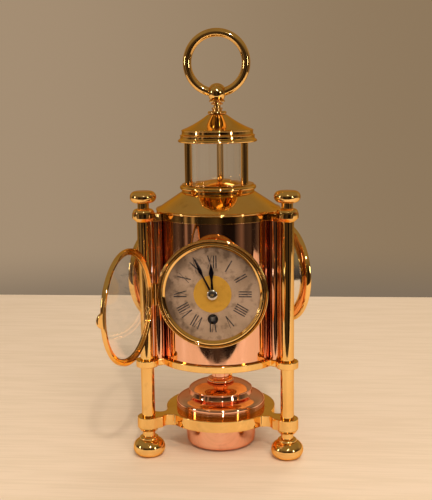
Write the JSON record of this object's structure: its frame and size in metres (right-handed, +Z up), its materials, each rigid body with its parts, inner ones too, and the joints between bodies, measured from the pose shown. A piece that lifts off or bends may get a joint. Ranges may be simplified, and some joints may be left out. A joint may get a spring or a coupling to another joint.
{
  "type": "mantel clock",
  "caption": "Lantern-shaped mantel clock: a copper drum between brass posts, with a hinged glass door, a glazed lantern and hanging ring on top, and weather dials behind.",
  "frame": {"origin": "on the clock's upright axis in the plane of the table that the three feet rest on; the claimed mount, the flat underside of the copper cup, lies 1.5 mm above it on the same axis", "axes": "+Z up, -Y towards the dial and its door, +X to the right of someone facing the dial"},
  "size_m": [0.1458, 0.2217, 0.3307],
  "materials": {
    "brass": "polished brass",
    "copper": "polished copper",
    "nickel": "polished nickel",
    "silvered": "silvered, matte and patinated",
    "gilt": "matte gilt",
    "blued_steel": "blued steel",
    "steel": "polished steel",
    "glass": "clear glass"
  },
  "bodies": {
    "frame": {"feet": "brass", "tripod_bracket": "brass", "posts": "brass", "post_knobs": "brass", "drum_floor": "brass", "drum_top": "brass", "drum_roof": "brass", "gallery": "brass", "lantern_posts": "brass", "cap_plate": "brass", "lantern_cap": "brass", "cap_finial": "brass", "clock_bezel": "brass", "dial_ring": "brass", "front_plate": "brass", "back_plate": "brass", "plate_pillars": "brass", "balance_cock": "brass", "rear_bezels": "brass", "font_cup": "copper", "font_cover": "copper", "font_stem": "copper", "copper_drum": "copper", "drum_columns": "copper", "instrument_cases": "nickel", "aneroid_capsule": "nickel", "clock_dial": "silvered", "rear_dials": "silvered", "dial_centre": "gilt", "hinge_pin": "steel", "plate_screws": "steel", "click_spring": "steel", "bimetal_coil": "steel", "chimney": "glass", "rear_glasses": "glass"},
    "door": {"door_ring": "brass", "door_glass": "glass", "door_glass_ring": "brass"},
    "ring": {"hanging_ring": "brass"},
    "minute": {"minute_hand": "blued_steel", "hand_collet": "steel", "cannon_pinion": "steel"},
    "hour": {"hour_hand": "blued_steel", "hour_wheel": "brass"},
    "minute_wheel": {"minute_wheel": "brass"},
    "third": {"third_wheel": "brass"},
    "centre": {"centre_wheel": "brass"},
    "intermediate": {"intermediate_wheel": "brass"},
    "barrel": {"barrel": "brass", "mainspring": "steel"},
    "fourth": {"fourth_wheel": "brass"},
    "escape": {"escape_wheel": "steel"},
    "lever": {"lever": "steel"},
    "balance": {"balance_wheel": "brass"},
    "winding": {"winding_arbor": "steel", "ratchet_wheel": "steel"},
    "click": {"click": "steel"},
    "barometer_hand": {"barometer_hand": "blued_steel"},
    "barometer_set_hand": {"barometer_set_hand": "brass"},
    "thermometer_hand": {"thermometer_hand": "blued_steel"}
  },
  "joints": [
    {"name": "door_hinge", "type": "hinge", "parent": "frame", "child": "door", "pos_m": [-0.0428, -0.0611, 0.1365], "axis": [0, 0, 1], "range_deg": [-124, 103]},
    {"name": "ring_tip", "type": "hinge", "parent": "frame", "child": "ring", "pos_m": [0, 0, 0.282], "axis": [1, 0, 0], "range_deg": [-130, 130]},
    {"name": "minute_turn", "type": "hinge", "parent": "frame", "child": "minute", "pos_m": [0, -0.06, 0.1365], "axis": [0, 1, 0], "continuous": true},
    {"name": "hour_turn", "type": "hinge", "parent": "frame", "child": "hour", "pos_m": [0, -0.06, 0.1365], "axis": [0, 1, 0], "continuous": true},
    {"name": "minute_wheel_turn", "type": "hinge", "parent": "frame", "child": "minute_wheel", "pos_m": [-0.00849, -0.053, 0.14499], "axis": [0, 1, 0], "continuous": true},
    {"name": "third_turn", "type": "hinge", "parent": "frame", "child": "third", "pos_m": [0.0049, -0.04, 0.14499], "axis": [0, 1, 0], "continuous": true},
    {"name": "centre_turn", "type": "hinge", "parent": "frame", "child": "centre", "pos_m": [0, -0.04, 0.1365], "axis": [0, 1, 0], "continuous": true},
    {"name": "intermediate_turn", "type": "hinge", "parent": "frame", "child": "intermediate", "pos_m": [-0.00773, -0.04, 0.12745], "axis": [0, 1, 0], "continuous": true},
    {"name": "barrel_turn", "type": "hinge", "parent": "frame", "child": "barrel", "pos_m": [0, -0.04, 0.1175], "axis": [0, 1, 0], "continuous": true},
    {"name": "fourth_turn", "type": "hinge", "parent": "frame", "child": "fourth", "pos_m": [-0.00365, -0.04, 0.1481], "axis": [0, 1, 0], "continuous": true},
    {"name": "escape_turn", "type": "hinge", "parent": "frame", "child": "escape", "pos_m": [-0.01089, -0.04, 0.14547], "axis": [0, 1, 0], "continuous": true},
    {"name": "lever_rock", "type": "hinge", "parent": "frame", "child": "lever", "pos_m": [-0.01246, -0.03, 0.14114], "axis": [0, 1, 0], "range_deg": [-6, 6]},
    {"name": "balance_swing", "type": "hinge", "parent": "frame", "child": "balance", "pos_m": [-0.01465, -0.029, 0.13513], "axis": [0, 1, 0], "range_deg": [-270, 270], "stiffness_Nm_per_rad": 0.0000006},
    {"name": "winding_turn", "type": "hinge", "parent": "frame", "child": "winding", "pos_m": [0, -0.055, 0.1175], "axis": [0, 1, 0], "continuous": true},
    {"name": "click_lift", "type": "hinge", "parent": "frame", "child": "click", "pos_m": [0.0062, -0.0525, 0.1255], "axis": [0, -1, 0], "range_deg": [0, 8], "stiffness_Nm_per_rad": 0.0002, "springref_deg": -11.46},
    {"name": "barometer_turn", "type": "hinge", "parent": "frame", "child": "barometer_hand", "pos_m": [0.0433, 0.025, 0.1365], "axis": [-0.866, -0.5, 0], "range_deg": [-170, 100], "stiffness_Nm_per_rad": 0.00005},
    {"name": "barometer_set", "type": "hinge", "parent": "frame", "child": "barometer_set_hand", "pos_m": [0.0485, 0.028, 0.1365], "axis": [-0.866, -0.5, 0], "continuous": true},
    {"name": "thermometer_turn", "type": "hinge", "parent": "frame", "child": "thermometer_hand", "pos_m": [-0.0433, 0.025, 0.1365], "axis": [0.866, -0.5, 0], "range_deg": [-95, 145], "stiffness_Nm_per_rad": 0.00005}
  ],
  "couplings": [
    {"joint": "hour_turn", "follows": "minute_turn", "ratio": 0.083333},
    {"joint": "minute_wheel_turn", "follows": "minute_turn", "ratio": -0.33333},
    {"joint": "centre_turn", "follows": "third_turn", "ratio": -0.16667},
    {"joint": "intermediate_turn", "follows": "third_turn", "ratio": 0.027778},
    {"joint": "barrel_turn", "follows": "third_turn", "ratio": -0.0046296},
    {"joint": "fourth_turn", "follows": "third_turn", "ratio": -6},
    {"joint": "escape_turn", "follows": "third_turn", "ratio": 36}
  ]
}
